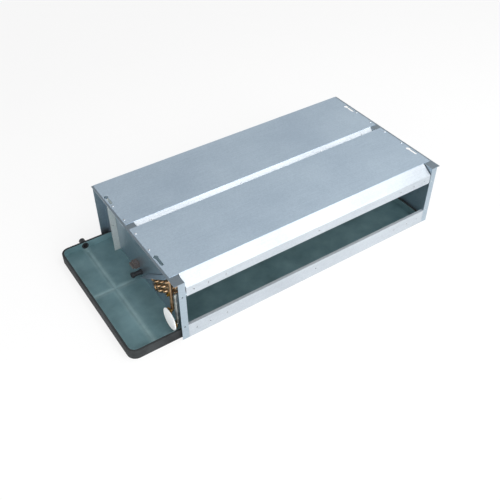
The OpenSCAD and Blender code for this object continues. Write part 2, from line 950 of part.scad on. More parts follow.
// Angle 0 points to the front, 90 down, 180 to the rear and 270 up, as the wheel turns
function scroll_point(a) = [shaft_y - scroll_r(a) * cos(a), shaft_h - scroll_r(a) * sin(a)];
function scroll_low_z() = shaft_h + scroll_r0 * sin(cutoff_angle);
function scroll_top_z() = shaft_h + scroll_r(270);
function scroll_path() = concat(
    [[y_deck_back + gap, scroll_low_z()]],
    [for (a = [-cutoff_angle:scroll_step:270 - scroll_step / 2]) scroll_point(a)],
    [[shaft_y, scroll_top_z()], [y_deck_back + gap, scroll_top_z()]]
);

module cheek(x0) {
    difference() {
        along_x(x0, x0 + scroll_t)
            polygon(scroll_path());
        rod_x(x0 - over, x0 + scroll_t + over, shaft_y, shaft_h, inlet_r);
    }
}

// Rounded inlet ring, its mouth turned to side
module bellmouth(x, side) {
    translate([x, shaft_y, shaft_h])
        rotate([0, side * 90, 0])
            rotate_extrude()
                translate([inlet_r + bell_r, 0])
                    difference() {
                        circle(r = bell_r);
                        circle(r = bell_r - scroll_t);
                        translate([0, -bell_r - over])
                            square([bell_r + over, 2 * bell_r + 2 * over]);
                        translate([-bell_r - over, -bell_r - over])
                            square([2 * bell_r + 2 * over, bell_r + over]);
                    }
}

module fan_housing(side) {
    x0 = fan_x + side * fan_spacing / 2 - housing_w / 2;
    x1 = x0 + housing_w;
    color("#B3BBC0")
        union() {
            along_x(x0, x1)
                polygon(folded(scroll_path(), scroll_t));
            cheek(x0);
            cheek(x1 - scroll_t);
            bellmouth(x0 + scroll_t, -1);
            bellmouth(x1 - scroll_t, 1);
        }
}

module fan_housing_left() {
    fan_housing(-1);
}

module fan_housing_right() {
    fan_housing(1);
}

// Points of one forward curved blade: it leaves the inner circle steeply and its tip runs ahead
blade_lead = 11;
blade_steps = 4;
function blade_path() = [
    for (i = [0:blade_steps])
        let (share = i / blade_steps, r = inlet_r + blade_depth * share, a = blade_lead * share * share)
            [r * cos(a), r * sin(a)]
];

module blade_profiles() {
    for (i = [0:blades - 1])
        rotate(i * 360 / blades)
            polygon(folded(blade_path(), blade_t));
}

module wheel_ring(x0, x1, r0, r1) {
    translate([x0, 0, 0])
        rotate([90, 0, 90])
            linear_extrude(x1 - x0)
                difference() {
                    circle(r = r1);
                    circle(r = r0);
                }
}

module fan_wheel(side) {
    rim_r = wheel_r + blade_t;
    translate([fan_x + side * fan_spacing / 2, shaft_y, shaft_h])
        union() {
            translate([-wheel_l / 2, 0, 0])
                rotate([90, 0, 90])
                    linear_extrude(wheel_l)
                        blade_profiles();
            wheel_ring(-disc_t / 2, disc_t / 2, shaft_r + running, disc_r);
            wheel_ring(-hub_l / 2, hub_l / 2, shaft_r + running, hub_r);
            wheel_ring(-wheel_l / 2, ring_l - wheel_l / 2, rim_r - ring_w, rim_r);
            wheel_ring(wheel_l / 2 - ring_l, wheel_l / 2, rim_r - ring_w, rim_r);
        }
}

module fan_wheel_left() {
    color("#B9C0C4") fan_wheel(-1);
}

module fan_wheel_right() {
    color("#B9C0C4") fan_wheel(1);
}

module motor_shaft() {
    color("#8E979B")
        rod_x(fan_x - shaft_reach, fan_x + shaft_reach, shaft_y, shaft_h, shaft_r);
}

// Motor: a ribbed drum with a neck at each end that the rubber rings hold
module motor_housing() {
    half = motor_l / 2;
    tip = half + neck_l;
    edge = motor_r * 0.12;
    bore = bush_r + running;
    profile = [
        [shaft_r + gap * 3, -half], [bore, -half], [bore, -tip], [neck_r, -tip], [neck_r, -half - edge],
        [motor_r - edge * 2, -half], [motor_r, -half + edge], [motor_r, half - edge],
        [motor_r - edge * 2, half], [neck_r, half + edge], [neck_r, tip], [bore, tip], [bore, half],
        [shaft_r + gap * 3, half]
    ];
    color("#5C6468")
        translate(shaft_pos)
            rotate([0, 90, 0])
                rotate_extrude()
                    polygon(profile);
}

module motor_bearings() {
    for (side = [-1, 1])
        color("#9A7B45")
            difference() {
                rod_x(fan_x + side * (motor_l / 2 + gap + bush_l / 2) - bush_l / 2,
                      fan_x + side * (motor_l / 2 + gap + bush_l / 2) + bush_l / 2,
                      shaft_y, shaft_h, bush_r);
                rod_x(fan_x - motor_l, fan_x + motor_l, shaft_y, shaft_h, shaft_r + running);
            }
}

// Middle of the neck, where ring, cradle and strap sit
neck_x = motor_l / 2 + neck_l - rubber_l / 2;

module motor_rubber_rings() {
    half = rubber_l / 2 - gap;
    for (side = [-1, 1])
        color("#1F2021")
            translate([fan_x + side * neck_x, 0, 0])
                difference() {
                    rod_x(-half, half, shaft_y, shaft_h, neck_r + gap + rubber_t);
                    rod_x(-rubber_l, rubber_l, shaft_y, shaft_h, neck_r + gap);
                }
}

cradle_r = neck_r + rubber_t + 2 * gap;

// One cradle, hollow below the ring, its middle at zero
module cradle() {
    half_w = cradle_r + strap_ear;
    difference() {
        block([-rubber_l / 2, shaft_y - half_w, mount_z], [rubber_l / 2, shaft_y + half_w, shaft_h - gap]);
        block([-rubber_l / 2 + bracket_t, shaft_y - half_w + bracket_t, mount_z + bracket_t],
              [rubber_l / 2 - bracket_t, shaft_y + half_w - bracket_t, shaft_h - cradle_r - bracket_t]);
    }
}

module motor_bracket() {
    half_l = neck_x + rubber_l;
    color("#A9B2B4")
        difference() {
            union() {
                block([fan_x - half_l, shaft_y - bracket_w / 2, mount_z],
                      [fan_x + half_l, shaft_y + bracket_w / 2, mount_z + bracket_t]);
                for (side = [-1, 1])
                    translate([fan_x + side * neck_x, 0, 0])
                        cradle();
            }
            rod_x(fan_x - half_l - over, fan_x + half_l + over, shaft_y, shaft_h, cradle_r);
        }
}

module motor_straps() {
    for (side = [-1, 1])
        color("#8E979B")
            translate([fan_x + side * neck_x - rubber_l / 2 + bracket_t, shaft_y, shaft_h])
                rotate([90, 0, 90])
                    linear_extrude(rubber_l - 2 * bracket_t)
                        union() {
                            difference() {
                                circle(r = cradle_r + strap_t);
                                circle(r = cradle_r);
                                translate([-cradle_r * 2, -cradle_r * 2])
                                    square([cradle_r * 4, cradle_r * 2]);
                            }
                            for (end = [-1, 1])
                                translate([end * (cradle_r + strap_ear / 2) - strap_ear / 2, 0])
                                    square([strap_ear, strap_t]);
                        }
}

module run_capacitor() {
    half = cap_box[0] / 2;
    ear = cap_box[0] * 0.7;
    color("#D9D9D2")
        translate([fan_x, y_deck_back + gap, shaft_h + motor_r])
            union() {
                block([-half, 0, 0], [half, cap_box[1], cap_box[2]]);
                block([-ear, 0, cap_box[2] / 3], [ear, sheet, cap_box[2] * 2 / 3]);
            }
}

// Filter

module filter_frame() {
    y1 = filter_y + filter_t;
    mesh_y = filter_y + (filter_t - mesh_t) / 2;
    bay = (filter_x1 - filter_x0 - filter_bar) / 4;
    color("#B9BDC0")
        difference() {
            block([filter_x0, filter_y, filter_z0], [filter_x1, y1, filter_z1]);
            for (i = [0:3])
                block([filter_x0 + i * bay + filter_bar, filter_y - over, filter_z0 + filter_bar],
                      [filter_x0 + (i + 1) * bay, y1 + over, filter_z1 - filter_bar]);
            block([filter_x0 + filter_bar / 2, mesh_y - gap, filter_z0 + filter_bar / 2],
                  [filter_x1 - filter_bar / 2, mesh_y + mesh_t + gap, filter_z1 - filter_bar / 2]);
        }
}

module filter_mesh() {
    mesh_y = filter_y + (filter_t - mesh_t) / 2;
    color("#3B3F42")
        block([filter_x0 + filter_bar / 2 + gap, mesh_y, filter_z0 + filter_bar / 2 + gap],
              [filter_x1 - filter_bar / 2 - gap, mesh_y + mesh_t, filter_z1 - filter_bar / 2 - gap]);
}

// Pull tab on the end of the filter that comes out through the right side plate
module filter_pull() {
    mid_z = (filter_z0 + filter_z1) / 2;
    mid_y = filter_y + filter_t / 2;
    color("#2E3133")
        difference() {
            union() {
                block([filter_x1 + gap, filter_y + gap, mid_z - pull_h / 2],
                      [filter_x1 + gap + sheet, filter_y + filter_t - gap, mid_z + pull_h / 2]);
                block([filter_x1 + gap, mid_y - sheet / 2, mid_z - pull_h / 3],
                      [filter_x1 + gap + pull_out, mid_y + sheet / 2, mid_z + pull_h / 3]);
            }
            rod_y(filter_x1 + pull_out / 2, mid_y - filter_t, mid_y + filter_t, mid_z, pull_out / 4);
        }
}

// Channel that guides an edge of the filter, open towards it
module filter_rail(z_out, z_in) {
    y0 = filter_y - gap;
    y1 = filter_y + filter_t + gap;
    along_x(x_in_left, x_in_right)
        polygon([
            [y0 - rail_t, z_in], [y0, z_in], [y0, z_out + sign(z_in - z_out) * rail_t],
            [y1, z_out + sign(z_in - z_out) * rail_t], [y1, z_in], [y1 + rail_t, z_in],
            [y1 + rail_t, z_out], [y0 - rail_t, z_out]
        ]);
}

module filter_rail_top() {
    color("#A9B2B4") filter_rail(body_h - sheet - gap, body_h - sheet - gap - rail_h);
}

module filter_rail_bottom() {
    color("#A9B2B4") filter_rail(sheet + gap, sheet + gap + rail_h);
}

// Electrical parts on the left side plate

module cable_gland() {
    color("#3A3D3F")
        difference() {
            union() {
                rod_x(x_left - gland_l, x_left + gap + gland_nut_l + 2 * sheet, gland_y, gland_z, gland_r);
                translate([x_left - gap - gland_nut_l, gland_y, gland_z])
                    rotate([0, 90, 0])
                        cylinder(h = gland_nut_l, r = gland_nut_r, $fn = 6);
                rod_x(x_left - gland_l, x_left - gland_l + gland_tip_l, gland_y, gland_z, gland_nut_r * 0.95);
            }
            rod_x(x_left - gland_l - over, x_left + gland_l, gland_y, gland_z, gland_r * 0.55);
        }
}

module gland_nut() {
    color("#3A3D3F")
        difference() {
            translate([x_left + sheet + gap, gland_y, gland_z])
                rotate([0, 90, 0])
                    cylinder(h = gland_nut_l, r = gland_nut_r, $fn = 6);
            rod_x(x_left, x_left + gland_l, gland_y, gland_z, gland_r + running);
        }
}

terminal_shares = [0.22, 0.5, 0.78];

module terminal_block() {
    size = block_size;
    color("#6E6663")
        translate([x_left - gap - size[0], block_y, block_z])
            difference() {
                union() {
                    block([size[0] / 3, 0, 0], size);
                    block([0, 0, size[2] / 4], [size[0], size[1], size[2] * 3 / 4]);
                }
                for (share = terminal_shares)
                    rod_x(-over, size[0] / 2, share * size[1], size[2] / 2, screw_r + gap);
            }
}

module terminal_screws() {
    x0 = x_left - gap - block_size[0];
    for (share = terminal_shares)
        color("#B8923C")
            rod_x(x0 + gap, x0 + block_size[0] / 2 - gap, block_y + share * block_size[1],
                  block_z + block_size[2] / 2, screw_r);
}

// Screws

// Cross-headed screw standing on the face at zero
module panel_screw() {
    difference() {
        union() {
            cylinder(h = screw_head_h / 2, r = screw_head_r);
            translate([0, 0, screw_head_h / 2])
                cylinder(h = screw_head_h / 2, r1 = screw_head_r, r2 = screw_head_r * 0.6);
            translate([0, 0, -screw_l])
                cylinder(h = screw_l, r = screw_r);
        }
        for (turn = [0, 90])
            rotate(turn)
                block([-recess_l / 2, -recess_w / 2, screw_head_h / 2],
                      [recess_l / 2, recess_w / 2, screw_head_h + over]);
    }
}

module top_panel_screws() {
    for (side = [-1, 1], y = top_screw_ys)
        color("#D8DDE0")
            on_side(side)
                translate([hang_flange_w - screw_edge, y_front + y, body_h])
                    panel_screw();
}

module groove_screws() {
    for (share = groove_screw_shares)
        color("#D8DDE0")
            on_groove_face()
                translate([x_left + share * body_l, 0, 0])
                    panel_screw();
}

side_plate_left();
side_plate_right();
front_top_panel();
rear_top_panel();
outlet_sill();
fan_deck();
plenum_bottom_panel();
stiffener_left();
stiffener_right();
top_insulation();
coil_baffle();
coil_fins();
coil_end_plate_left();
coil_end_plate_right();
coil_tubes();
return_bends();
supply_pipe();
return_pipe();
supply_socket();
return_socket();
connection_cap();
vent_valve();
vent_screw();
drain_pan();
pan_insulation();
drain_spigot();
spigot_nut();
fan_housing_left();
fan_housing_right();
fan_wheel_left();
fan_wheel_right();
motor_shaft();
motor_housing();
motor_bearings();
motor_rubber_rings();
motor_bracket();
motor_straps();
run_capacitor();
filter_frame();
filter_mesh();
filter_pull();
filter_rail_top();
filter_rail_bottom();
cable_gland();
gland_nut();
terminal_block();
terminal_screws();
top_panel_screws();
groove_screws();
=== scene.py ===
# Concealed ducted fan coil unit: a folded sheet steel casing with a leaning finned coil,
# a drain pan that reaches past the left end, and two blowers behind a slide-in filter.
import math

import bpy
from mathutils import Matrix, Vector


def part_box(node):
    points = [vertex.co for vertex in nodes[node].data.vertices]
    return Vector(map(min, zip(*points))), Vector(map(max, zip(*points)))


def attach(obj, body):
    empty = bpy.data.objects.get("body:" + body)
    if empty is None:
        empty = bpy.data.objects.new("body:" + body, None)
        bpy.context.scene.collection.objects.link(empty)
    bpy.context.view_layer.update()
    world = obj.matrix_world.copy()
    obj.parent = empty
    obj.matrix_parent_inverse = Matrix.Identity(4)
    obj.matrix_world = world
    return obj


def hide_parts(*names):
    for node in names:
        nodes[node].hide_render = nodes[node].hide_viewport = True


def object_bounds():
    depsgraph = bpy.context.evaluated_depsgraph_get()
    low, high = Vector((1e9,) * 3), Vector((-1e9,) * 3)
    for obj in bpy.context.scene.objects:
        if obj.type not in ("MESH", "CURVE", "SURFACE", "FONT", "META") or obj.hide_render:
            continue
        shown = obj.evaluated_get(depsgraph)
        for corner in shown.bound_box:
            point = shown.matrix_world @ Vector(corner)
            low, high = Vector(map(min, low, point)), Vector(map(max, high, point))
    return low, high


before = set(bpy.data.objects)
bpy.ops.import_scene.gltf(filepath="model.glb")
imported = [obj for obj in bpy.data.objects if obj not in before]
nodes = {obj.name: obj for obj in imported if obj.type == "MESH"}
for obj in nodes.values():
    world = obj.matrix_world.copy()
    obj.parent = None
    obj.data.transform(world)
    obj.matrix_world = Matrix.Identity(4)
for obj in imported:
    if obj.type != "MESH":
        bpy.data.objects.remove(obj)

bpy.ops.object.select_all(action="DESELECT")
cad_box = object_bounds()


# Side plates: galvanised sheet, cut and folded in a press brake, with a hanging flange, a duct
# flange and a rear flange turned outward. Zinc dipped, so the sheet has a faint spangle of flat
# crystals, grey-blue and half dull, with long rolling marks along it.
def linear(code):
    """sRGB hex to the linear colour a shader takes."""
    parts = [int(code[i:i + 2], 16) / 255 for i in (1, 3, 5)]
    return tuple(c / 12.92 if c <= 0.04045 else ((c + 0.055) / 1.055) ** 2.4 for c in parts) + (1.0,)


def add(tree, kind, links=(), into=(), stops=(), **settings):
    """Adds one node with its settings, its ramp's stops and the links into it and out of it."""
    node = tree.nodes.new(kind)
    for name, value in settings.items():
        socket = name.replace("_", " ")
        if socket in node.inputs:
            node.inputs[socket].default_value = value
        else:
            setattr(node, name, value)
    for stop, (position, code) in zip(node.color_ramp.elements if stops else (), stops):
        stop.position = position
        stop.color = linear(code)
    for source, target in links:
        tree.links.new(source, node.inputs[target])
    for source, target in into:
        tree.links.new(node.outputs[source], target)
    return node


def blank(name):
    """A material with only its output, its shader and the object's own coordinates."""
    material = bpy.data.materials.new(name)
    material.use_nodes = True
    tree = material.node_tree
    shader = tree.nodes["Principled BSDF"]
    place = add(tree, "ShaderNodeTexCoord").outputs["Object"]
    return material, tree, shader, place


def every(millimetres):
    """The scale of a pattern whose spots are this far apart, as the coordinates are in metres."""
    return 1000 / millimetres


def galvanised(name, dark, light, metallic, roughness):
    """Galvanised sheet: 4 mm spangle, rolling marks along X, slow waves and duller patches."""
    material, tree, shader, place = blank(name)
    spangle = add(tree, "ShaderNodeTexVoronoi", [(place, "Vector")], Scale=every(4))
    grain = add(tree, "ShaderNodeSeparateColor", [(spangle.outputs["Color"], "Color")])
    # Real rolling marks are under 1 mm wide; they are drawn broader so that they show in a picture.
    along = add(tree, "ShaderNodeMapping", [(place, "Vector")],
                Scale=(every(200), every(2.86), every(2.86)))
    rolling = add(tree, "ShaderNodeTexNoise", [(along.outputs["Vector"], "Vector")],
                  Scale=1.0, Detail=4.0)
    cloud = add(tree, "ShaderNodeTexNoise", [(place, "Vector")], Scale=every(250), Detail=3.0)
    fine = add(tree, "ShaderNodeMix", [(grain.outputs["Red"], "A"), (rolling.outputs["Fac"], "B")],
               Factor=0.7)
    all_over = add(tree, "ShaderNodeMix", [(fine.outputs["Result"], "A"), (cloud.outputs["Fac"], "B")],
                   Factor=0.55)
    add(tree, "ShaderNodeValToRGB", [(all_over.outputs["Result"], "Fac")],
        [("Color", shader.inputs["Base Color"])], ((0.36, dark), (0.64, light)))
    add(tree, "ShaderNodeMapRange", [(all_over.outputs["Result"], "Value")],
        [("Result", shader.inputs["Roughness"])], From_Min=0.36, From_Max=0.64,
        To_Min=roughness + 0.03, To_Max=roughness - 0.03)
    add(tree, "ShaderNodeBump", [(cloud.outputs["Fac"], "Height")], [("Normal", shader.inputs["Normal"])],
        Distance=0.0012)
    shader.inputs["Metallic"].default_value = metallic
    return material


def paint(material, *names):
    """Gives CAD nodes their finish."""
    for name in names:
        mesh = nodes[name].data
        mesh.materials.clear()
        mesh.materials.append(material)


bright_sheet = galvanised("galvanised sheet bright", "#A6B6C2", "#B8C7D2", metallic=0.92, roughness=0.31)
paint(bright_sheet, "side_plate_left", "side_plate_right")


# Top panels and outlet sill: folded galvanised sheets. The front panel slopes down to the outlet, the
# rear one dips into the groove between them, and both are screwed to the side plates. The flat tops
# keep the sheet's blue-grey; the folded faces below them are painted whiter and less blue, a painted
# reflection standing in for the white floor and lamp light that these faces mirror.
panel_sheet = galvanised("galvanised sheet top", "#A2B3C3", "#B4C5D3", metallic=0.42, roughness=0.42)
tree = panel_sheet.node_tree
shader = tree.nodes["Principled BSDF"]
sheet_tone = shader.inputs["Base Color"].links[0].from_socket
spot = add(tree, "ShaderNodeSeparateXYZ", [(add(tree, "ShaderNodeTexCoord").outputs["Object"], "Vector")])
panel_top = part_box("front_top_panel")[1][2]
full_whitening_depth, no_whitening_depth = 0.0014, 0.0004
# Painted reflection: below the flat top the folded faces are painted whiter and less blue, fully so from
# 1.4 mm down.
painted_reflection_whitening = add(tree, "ShaderNodeHueSaturation", [(sheet_tone, "Color")],
              [("Color", shader.inputs["Base Color"])])
for socket, below in (("Saturation", 0.5), ("Value", 0.95)):
    add(tree, "ShaderNodeMapRange", [(spot.outputs["Z"], "Value")], [("Result", painted_reflection_whitening.inputs[socket])],
        From_Min=panel_top - full_whitening_depth, From_Max=panel_top - no_whitening_depth, To_Min=below, To_Max=1.0)
paint(panel_sheet, "front_top_panel", "rear_top_panel", "outlet_sill")


# Side stiffeners: angles of zinc plated sheet, cut and folded like the side plates, and painted
# lighter than them as painted light, so that they read as lit where the hanging flange shades them.
# They are spot welded upright to the outside of each web, with one hole for the pan's hanger.
# Painted light: a lighter copy of the galvanised sheet, so the stiffeners look lit inside the flange's
# shadow.
painted_lit_angle_sheet = galvanised("zinc plated angle", "#C3CBC9", "#D8DEDC", metallic=0.4, roughness=0.42)
paint(painted_lit_angle_sheet, "stiffener_left", "stiffener_right")


# Inner sheets: the deck the blowers bolt to, the plenum's bottom, the strip over the coil and the
# filter's rails. Same galvanised steel, in a darker tone and a duller finish than the side plates.
dull_sheet = galvanised("galvanised sheet dull", "#7E8890", "#9AA4AB", metallic=0.5, roughness=0.52)
paint(dull_sheet, "fan_deck", "plenum_bottom_panel", "coil_baffle", "filter_rail_top",
      "filter_rail_bottom", "motor_bracket")


# Foam: closed cell sheet glued under the top panel and all round the drain pan, against sweating.
# Nearly black and matt. Its pores are about 1 mm wide; they are drawn at 2.4 mm so that they show.
foam, tree, shader, place = blank("closed cell foam")
pores = add(tree, "ShaderNodeTexVoronoi", [(place, "Vector")], Scale=every(2.38))
patches = add(tree, "ShaderNodeTexNoise", [(place, "Vector")], Scale=every(71.4), Detail=4.0)
add(tree, "ShaderNodeValToRGB", [(patches.outputs["Fac"], "Fac")],
    [("Color", shader.inputs["Base Color"])], ((0.35, "#1E2224"), (0.65, "#34383A")))
add(tree, "ShaderNodeBump", [(pores.outputs["Distance"], "Height")],
    [("Normal", shader.inputs["Normal"])], Distance=0.0006)
shader.inputs["Roughness"].default_value = 0.88
paint(foam, "top_insulation", "pan_insulation")


# Coil end plates: the two galvanised sheets that the fins are stacked between. They are pierced and
# collared for the tubes, rimmed for stiffness, and hold the coil leaning across the casing.
paint(bright_sheet, "coil_end_plate_left", "coil_end_plate_right")


# Coil tubes and return bends: drawn copper, hairpins pushed through the fins and closed by brazed
# bends. Handled and heated, so it is browned in patches.
copper, tree, shader, place = blank("drawn copper")
browning = add(tree, "ShaderNodeTexNoise", [(place, "Vector")], Scale=every(22.2), Detail=5.0)
add(tree, "ShaderNodeValToRGB", [(browning.outputs["Fac"], "Fac")],
    [("Color", shader.inputs["Base Color"])], ((0.35, "#86694A"), (0.65, "#D8B793")))
add(tree, "ShaderNodeMapRange", [(browning.outputs["Fac"], "Value")],
    [("Result", shader.inputs["Roughness"])], To_Min=0.42, To_Max=0.22)
shader.inputs["Metallic"].default_value = 1.0
paint(copper, "coil_tubes", "return_bends", "return_pipe")


# Supply pipe: the same copper tube, tinned grey all over, bent twice and brazed into the coil's
# lowest free tube. The tin has dulled in patches.
tinned, tree, shader, place = blank("tinned copper")
dulling = add(tree, "ShaderNodeTexNoise", [(place, "Vector")], Scale=every(16.7), Detail=4.0)
add(tree, "ShaderNodeValToRGB", [(dulling.outputs["Fac"], "Fac")],
    [("Color", shader.inputs["Base Color"])], ((0.35, "#7F8583"), (0.65, "#B4B9B6")))
add(tree, "ShaderNodeMapRange", [(dulling.outputs["Fac"], "Value")],
    [("Result", shader.inputs["Roughness"])], To_Min=0.48, To_Max=0.30)
shader.inputs["Metallic"].default_value = 0.9
paint(tinned, "supply_pipe")


# Fins: aluminium foil, stamped with a ripple along their edges and stacked on the tubes. The real
# pitch is about 1.8 mm; it is drawn at 2.6 mm so that single fins still show in a picture.
fin_foil, tree, shader, place = blank("aluminium fin foil")
smear = add(tree, "ShaderNodeTexNoise", [(place, "Vector")], Scale=every(40), Detail=4.0)
add(tree, "ShaderNodeValToRGB", [(smear.outputs["Fac"], "Fac")],
    [("Color", shader.inputs["Base Color"])], ((0.35, "#CBD0D4"), (0.65, "#EDEFF1")))
shader.inputs["Roughness"].default_value = 0.42
shader.inputs["Metallic"].default_value = 0.45
paint(fin_foil, "coil_fins")


def finish(piece, material, body, smooth):
    """Settles a piece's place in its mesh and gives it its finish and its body."""
    bpy.ops.object.select_all(action="DESELECT")
    piece.select_set(True)
    bpy.context.view_layer.objects.active = piece
    bpy.ops.object.transform_apply(location=True, rotation=True, scale=True)
    bpy.ops.object.shade_smooth_by_angle(angle=math.radians(smooth))
    piece.data.materials.clear()
    piece.data.materials.append(material)
    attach(piece, body)
    piece.select_set(False)


def repeat(piece, count, step):
    """Copies a mesh along a line, a step apart, within the same object."""
    copies = piece.modifiers.new("copies", "ARRAY")
    copies.count = count
    copies.use_relative_offset = False
    copies.use_constant_offset = True
    copies.constant_offset_displace = step
    bpy.ops.object.modifier_apply(modifier="copies")


def at(piece, keep):
    """Selects, in edit mode, the corners that a rule keeps."""
    bpy.ops.object.mode_set(mode="OBJECT")
    for corner in piece.data.vertices:
        corner.select = keep(corner.co)
    bpy.ops.object.mode_set(mode="EDIT")


coil_tilt, coil_length, coil_depth = math.radians(37.997), 0.250, 0.064
coil_foot_y, coil_foot_z = -0.03299, 0.06310
fins_from, fins_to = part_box("coil_fins")[0][0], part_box("coil_fins")[1][0]
fin_pitch, fin_ripple, fin_strips, fin_t = 0.0026, 0.0007, 12, 0.00018
bpy.ops.mesh.primitive_grid_add(x_subdivisions=fin_strips, y_subdivisions=1, size=1)
fins = bpy.context.object
fins.name = "coil_fin_pack"
bpy.ops.object.mode_set(mode="EDIT")
bpy.ops.mesh.select_all(action="SELECT")
bpy.ops.transform.resize(value=(coil_length, coil_depth, 1))
bpy.ops.transform.translate(value=(coil_length / 2, coil_depth / 2, 0))
bpy.ops.mesh.select_mode(type="VERT")
at(fins, lambda co: round(co.x / coil_length * fin_strips) % 2 == 1)
bpy.ops.transform.translate(value=(0, 0, fin_ripple))
bpy.ops.object.mode_set(mode="OBJECT")
foil = fins.modifiers.new("foil", "SOLIDIFY")
foil.thickness = fin_t
bpy.ops.object.modifier_apply(modifier="foil")
repeat(fins, int((fins_to - fins_from) / fin_pitch), (0, 0, fin_pitch))
fins.rotation_euler = (math.pi / 2, 0, math.pi / 2)
bpy.ops.object.transform_apply(rotation=True)
fins.rotation_euler = (math.pi - coil_tilt, 0, 0)
fins.location = (fins_from, coil_foot_y, coil_foot_z)
finish(fins, fin_foil, "casing", smooth=20)
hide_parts("coil_fins")


# Brazing rings: a bead of silver bearing filler round each leg of a return bend, where it is
# brazed into the coil's tube just outside the left end plate.
braze, tree, shader, place = blank("brazing filler")
flow = add(tree, "ShaderNodeTexNoise", [(place, "Vector")], Scale=every(2.5), Detail=3.0)
add(tree, "ShaderNodeValToRGB", [(flow.outputs["Fac"], "Fac")],
    [("Color", shader.inputs["Base Color"])], ((0.35, "#A8894F"), (0.65, "#DCC184")))
shader.inputs["Roughness"].default_value = 0.3
shader.inputs["Metallic"].default_value = 1.0

tubes_in_row, row_count, tube_step, row_step = 10, 4, 0.025, 0.016
bead_r, bead_deep, bead_round = 0.0058, 0.0020, 0.0007
plate_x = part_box("return_bends")[1][0]
bpy.ops.mesh.primitive_cylinder_add(
    vertices=16, radius=bead_r, depth=bead_deep, rotation=(0, math.pi / 2, 0),
    location=(0, tube_step / 2, row_step / 2))
beads = bpy.context.object
beads.name = "brazing_rings"
bpy.ops.object.transform_apply(location=True, rotation=True)
at(beads, lambda co: co.x < 0)
bpy.ops.mesh.bevel(offset=bead_round, segments=2)
bpy.ops.object.mode_set(mode="OBJECT")
repeat(beads, tubes_in_row, (0, tube_step, 0))
repeat(beads, row_count, (0, 0, row_step))
beads.rotation_euler = (math.pi - coil_tilt, 0, 0)
beads.location = (plate_x - bead_deep / 2, coil_foot_y, coil_foot_z)
finish(beads, braze, "casing", smooth=40)


# Brass parts: the water connections and the air vent, turned from hexagon and round bar, brazed to
# the pipes. The motor's sintered bushes and the terminal screws look the same.
brass, tree, shader, place = blank("turned brass")
tarnish = add(tree, "ShaderNodeTexNoise", [(place, "Vector")], Scale=every(14.3), Detail=4.0)
add(tree, "ShaderNodeValToRGB", [(tarnish.outputs["Fac"], "Fac")],
    [("Color", shader.inputs["Base Color"])], ((0.35, "#8F6B2C"), (0.65, "#CFA95A")))
add(tree, "ShaderNodeMapRange", [(tarnish.outputs["Fac"], "Value")],
    [("Result", shader.inputs["Roughness"])], To_Min=0.40, To_Max=0.22)
shader.inputs["Metallic"].default_value = 1.0
paint(brass, "supply_socket", "return_socket", "vent_valve", "terminal_screws", "motor_bearings")


# Transit cap: a white polyethylene disc with two skirts on its back, moulded in one shot and pushed
# over both water connections. Its face is dished a little inside a rim, and light gets into it.
white_cap, tree, shader, place = blank("moulded polyethylene")
waxiness = add(tree, "ShaderNodeTexNoise", [(place, "Vector")], Scale=every(33.3), Detail=2.0)
add(tree, "ShaderNodeValToRGB", [(waxiness.outputs["Fac"], "Fac")],
    [("Color", shader.inputs["Base Color"])], ((0.35, "#F2F4F4"), (0.65, "#FBFCFC")))
shader.inputs["Roughness"].default_value = 0.48
shader.inputs["IOR"].default_value = 1.51
shader.inputs["Subsurface Weight"].default_value = 0.25
shader.inputs["Subsurface Radius"].default_value = (0.004, 0.004, 0.004)
paint(white_cap, "connection_cap")

cap_low, cap_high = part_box("connection_cap")
cap_y, cap_z = (cap_low[1] + cap_high[1]) / 2, (cap_low[2] + cap_high[2]) / 2
cap_r, disc_t, cap_round = (cap_high[1] - cap_low[1]) / 2, 0.0025, 0.0009
rim_w, dish_deep, skirt_r, skirt_t = 0.005, 0.0007, 0.0123, 0.0012
bpy.ops.mesh.primitive_cylinder_add(
    vertices=72, radius=cap_r, depth=disc_t, rotation=(0, math.pi / 2, 0),
    location=(cap_low[0] + disc_t / 2, cap_y, cap_z))
cap = bpy.context.object
cap.name = "moulded_cap"
bpy.ops.object.transform_apply(location=True, rotation=True)
at(cap, lambda co: True)
bpy.ops.mesh.select_mode(type="EDGE")
bpy.ops.mesh.bevel(offset=cap_round, segments=3)
bpy.ops.mesh.select_mode(type="FACE")
bpy.ops.mesh.select_all(action="DESELECT")
bpy.ops.object.mode_set(mode="OBJECT")
outer_face = min(cap.data.polygons, key=lambda face: face.center.x - face.area)
outer_face.select = True
bpy.ops.object.mode_set(mode="EDIT")
bpy.ops.mesh.inset(thickness=rim_w)
bpy.ops.mesh.inset(thickness=dish_deep)
bpy.ops.transform.translate(value=(dish_deep, 0, 0))
bpy.ops.object.mode_set(mode="OBJECT")
skirts = [cap]
for node in ("supply_socket", "return_socket"):
    socket_middle = [(low + high) / 2 for low, high in zip(*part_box(node))]
    bpy.ops.mesh.primitive_cylinder_add(
        vertices=48, radius=skirt_r, depth=cap_high[0] - cap_low[0] - disc_t, end_fill_type="NOTHING",
        rotation=(0, math.pi / 2, 0),
        location=((cap_low[0] + disc_t + cap_high[0]) / 2, socket_middle[1], socket_middle[2]))
    skirt = bpy.context.object
    bpy.ops.object.transform_apply(location=True, rotation=True)
    wall = skirt.modifiers.new("wall", "SOLIDIFY")
    wall.thickness, wall.offset = skirt_t, 1
    bpy.ops.object.modifier_apply(modifier="wall")
    skirts.append(skirt)
for piece in skirts:
    piece.select_set(True)
bpy.context.view_layer.objects.active = cap
bpy.ops.object.join()
finish(cap, white_cap, "cap", smooth=40)
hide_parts("connection_cap")
